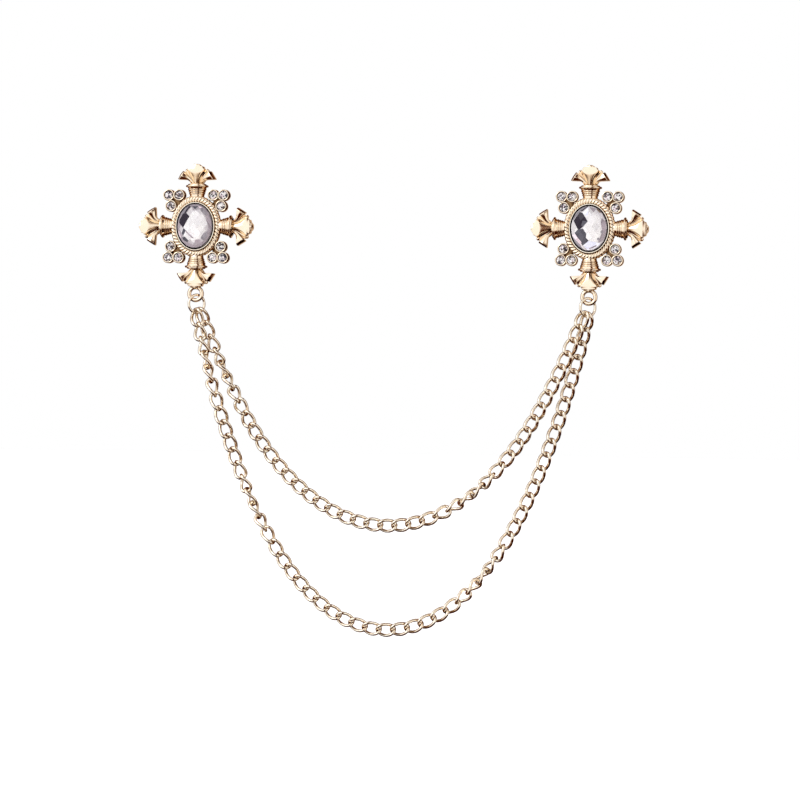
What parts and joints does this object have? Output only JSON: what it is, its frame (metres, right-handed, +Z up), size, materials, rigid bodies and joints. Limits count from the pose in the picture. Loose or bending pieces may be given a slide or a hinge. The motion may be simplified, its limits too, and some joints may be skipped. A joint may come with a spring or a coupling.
{
  "type": "lapel chain",
  "caption": "Two gilt cross brooches with oval and round clear stones, joined by a short and a long hanging curb chain, to pin on a coat's lapels.",
  "frame": {"origin": "middle of the left brooch's pin stem, where it goes through the cloth", "axes": "+X to the right brooch as the viewer sees it, +Y back into the cloth, +Z up; the front faces -Y and the chains hang down"},
  "size_m": [0.119, 0.008, 0.1088],
  "materials": {
    "cast_gold": "bright gilt cast alloy, raised relief with dark grooves",
    "chain_gold": "bright gilt round wire",
    "ring_gold": "bright gilt round wire",
    "pin_metal": "plain gilt metal",
    "centre_stone": "clear cut glass on foil",
    "small_stone": "clear cut glass on foil"
  },
  "bodies": {
    "root": {"left_cross": "cast_gold", "right_cross": "cast_gold", "left_centre_stone": "centre_stone", "right_centre_stone": "centre_stone", "left_stone_01": "small_stone", "left_stone_02": "small_stone", "left_stone_03": "small_stone", "left_stone_04": "small_stone", "left_stone_05": "small_stone", "left_stone_06": "small_stone", "left_stone_07": "small_stone", "left_stone_08": "small_stone", "left_stone_09": "small_stone", "left_stone_10": "small_stone", "left_stone_11": "small_stone", "left_stone_12": "small_stone", "right_stone_01": "small_stone", "right_stone_02": "small_stone", "right_stone_03": "small_stone", "right_stone_04": "small_stone", "right_stone_05": "small_stone", "right_stone_06": "small_stone", "right_stone_07": "small_stone", "right_stone_08": "small_stone", "right_stone_09": "small_stone", "right_stone_10": "small_stone", "right_stone_11": "small_stone", "right_stone_12": "small_stone", "left_pin": "pin_metal", "right_pin": "pin_metal", "left_jump_ring": "ring_gold", "right_jump_ring": "ring_gold", "inner_chain": "chain_gold", "outer_chain": "chain_gold"}
  },
  "joints": []
}
